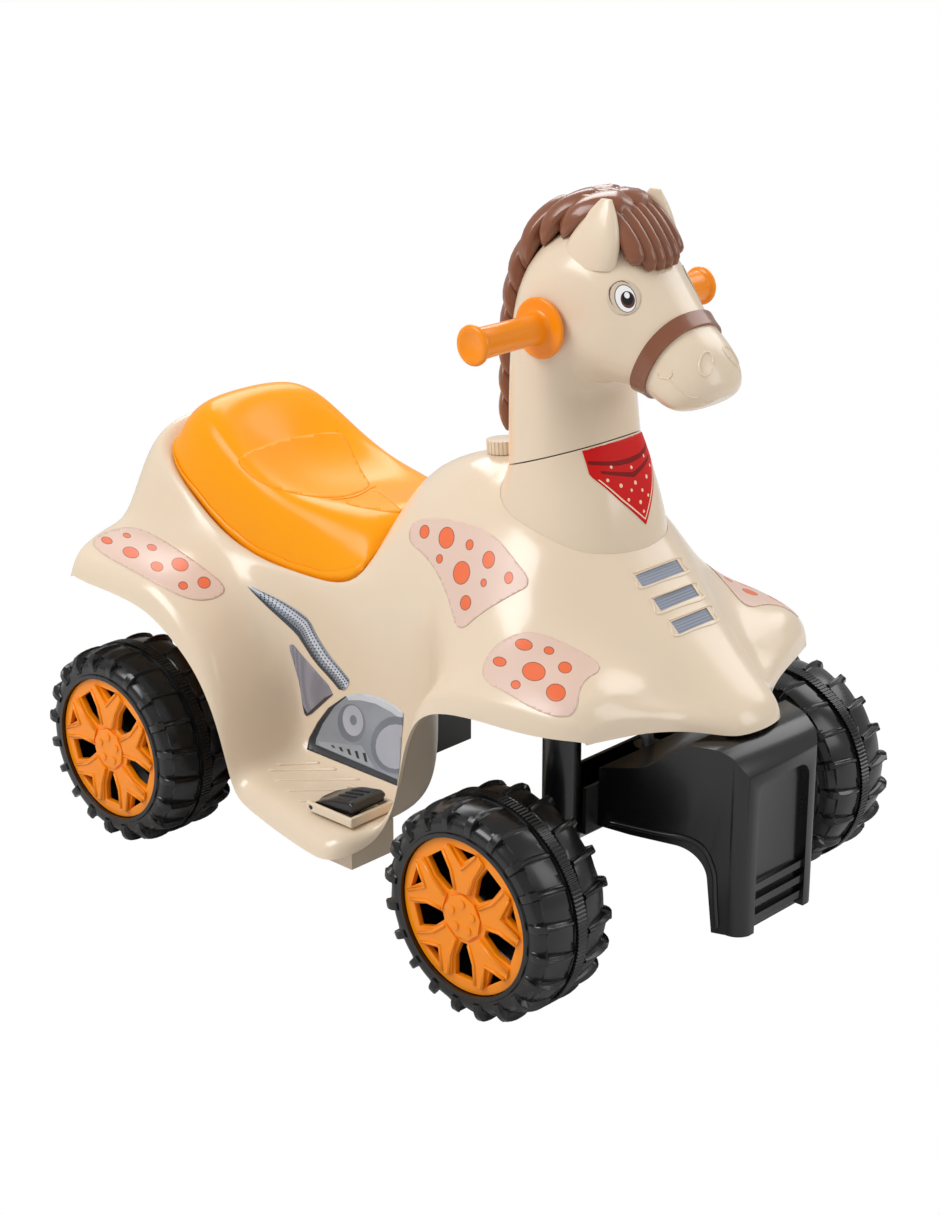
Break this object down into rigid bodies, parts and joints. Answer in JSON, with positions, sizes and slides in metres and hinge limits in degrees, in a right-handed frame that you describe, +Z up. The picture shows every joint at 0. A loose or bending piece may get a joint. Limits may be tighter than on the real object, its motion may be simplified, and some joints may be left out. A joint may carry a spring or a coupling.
{
  "type": "ride-on quad bike",
  "caption": "Child's battery ride-on quad with a horse's head on a steered neck, a moulded seat over the battery, footboards with a pedal, and hollow wheels with lugged tread.",
  "frame": {"origin": "on the ground under the middle of the bounding box", "axes": "+X forward, +Y to the rider's left, +Z up"},
  "size_m": [0.7659, 0.5, 0.6848],
  "materials": {
    "cream_plastic": "glossy cream moulding",
    "orange_plastic": "glossy orange moulding",
    "brown_plastic": "glossy brown moulding",
    "black_wheel": "blow-moulded black wheel",
    "black_plastic": "satin black moulding",
    "grey_mesh": "grey mesh print",
    "grey_plastic": "grey moulding",
    "bearing_plastic": "white bearing plastic",
    "battery_case": "dark battery case",
    "lead_sleeve": "blue lead sleeve",
    "steel": "zinc-plated steel"
  },
  "bodies": {
    "chassis": {"body_shell": "cream_plastic", "neck_collar": "cream_plastic", "collar_bush": "bearing_plastic", "charge_socket": "black_plastic", "vent_meshes": "grey_mesh", "pedal_rim": "cream_plastic", "switch_box": "cream_plastic", "front_bumper": "black_plastic", "front_axle_beam": "black_plastic", "rear_axle": "steel", "rear_axle_nuts": "steel", "idler_pin": "steel", "gearbox_outer": "grey_plastic", "gearbox_inner": "grey_plastic", "drive_motor": "steel", "chassis_tray": "black_plastic", "tray_screws": "steel", "battery": "battery_case", "battery_strap": "black_plastic", "wiring_harness": "lead_sleeve"},
    "seat": {"seat": "orange_plastic"},
    "steering": {"head_right_half": "cream_plastic", "head_left_half": "cream_plastic", "mane": "brown_plastic", "noseband": "brown_plastic", "handlebar_tube": "steel", "grip_right": "orange_plastic", "grip_left": "orange_plastic", "steering_column": "steel", "column_socket": "grey_plastic", "column_bolt": "steel"},
    "knuckle_right": {"knuckle_right": "steel", "kingpin_clip_right": "steel", "front_axle_nut_right": "steel"},
    "knuckle_left": {"knuckle_left": "steel", "kingpin_clip_left": "steel", "front_axle_nut_left": "steel"},
    "tie_rod": {"tie_rod": "steel"},
    "front_right_wheel": {"front_right_tyre": "black_wheel", "front_right_rim": "orange_plastic", "front_right_hub_cap": "orange_plastic", "front_right_bushes": "bearing_plastic"},
    "front_left_wheel": {"front_left_tyre": "black_wheel", "front_left_rim": "orange_plastic", "front_left_hub_cap": "orange_plastic", "front_left_bushes": "bearing_plastic"},
    "rear_right_wheel": {"rear_right_tyre": "black_wheel", "rear_right_rim": "orange_plastic", "rear_right_hub_cap": "orange_plastic", "rear_right_bushes": "bearing_plastic", "drive_gear": "bearing_plastic"},
    "rear_left_wheel": {"rear_left_tyre": "black_wheel", "rear_left_rim": "orange_plastic", "rear_left_hub_cap": "orange_plastic", "rear_left_bushes": "bearing_plastic"},
    "idler": {"idler_gear": "bearing_plastic"},
    "motor_rotor": {"motor_pinion": "steel"},
    "pedal": {"pedal": "black_plastic"},
    "filler_cap": {"filler_cap": "cream_plastic"}
  },
  "joints": [
    {"name": "seat_lift", "type": "slide", "parent": "chassis", "child": "seat", "axis": [0, 0, 1], "range_m": [0, 0.15]},
    {"name": "steering_turn", "type": "hinge", "parent": "chassis", "child": "steering", "pos_m": [0.136, 0, 0.443], "axis": [-0.342, 0, 0.9397], "range_deg": [-20, 20]},
    {"name": "knuckle_right_turn", "type": "hinge", "parent": "chassis", "child": "knuckle_right", "pos_m": [0.232, -0.122, 0.1], "axis": [0, 0, 1], "range_deg": [-20, 20]},
    {"name": "knuckle_left_turn", "type": "hinge", "parent": "chassis", "child": "knuckle_left", "pos_m": [0.232, 0.122, 0.1], "axis": [0, 0, 1], "range_deg": [-20, 20]},
    {"name": "tie_rod_pivot", "type": "hinge", "parent": "knuckle_right", "child": "tie_rod", "pos_m": [0.196, -0.122, 0.1013], "axis": [0, 0, 1], "range_deg": [-20, 20]},
    {"name": "front_right_spin", "type": "hinge", "parent": "knuckle_right", "child": "front_right_wheel", "pos_m": [0.232, -0.205, 0.1], "axis": [0, 1, 0], "continuous": true},
    {"name": "front_left_spin", "type": "hinge", "parent": "knuckle_left", "child": "front_left_wheel", "pos_m": [0.232, 0.205, 0.1], "axis": [0, 1, 0], "continuous": true},
    {"name": "rear_right_spin", "type": "hinge", "parent": "chassis", "child": "rear_right_wheel", "pos_m": [-0.268, -0.185, 0.1], "axis": [0, 1, 0], "continuous": true},
    {"name": "rear_left_spin", "type": "hinge", "parent": "chassis", "child": "rear_left_wheel", "pos_m": [-0.268, 0.185, 0.1], "axis": [0, 1, 0], "continuous": true},
    {"name": "idler_spin", "type": "hinge", "parent": "chassis", "child": "idler", "pos_m": [-0.23981, -0.073, 0.11026], "axis": [0, 1, 0], "continuous": true},
    {"name": "motor_spin", "type": "hinge", "parent": "chassis", "child": "motor_rotor", "pos_m": [-0.21716, -0.0635, 0.11425], "axis": [0, 1, 0], "continuous": true},
    {"name": "pedal_press", "type": "hinge", "parent": "chassis", "child": "pedal", "pos_m": [-0.003, -0.176, 0.11274], "axis": [0, 1, 0], "range_deg": [0, 8], "stiffness_Nm_per_rad": 0.4, "springref_deg": -14.32},
    {"name": "cap_twist", "type": "hinge", "parent": "chassis", "child": "filler_cap", "pos_m": [0.049, 0, 0.42158], "axis": [-0.0793, 0, 0.9969], "range_deg": [0, 90]}
  ],
  "couplings": [
    {"joint": "knuckle_right_turn", "follows": "steering_turn", "ratio": 1},
    {"joint": "knuckle_left_turn", "follows": "steering_turn", "ratio": 1},
    {"joint": "tie_rod_pivot", "follows": "steering_turn", "ratio": -1},
    {"joint": "idler_spin", "follows": "rear_right_spin", "ratio": -4},
    {"joint": "motor_spin", "follows": "rear_right_spin", "ratio": 14.4}
  ]
}
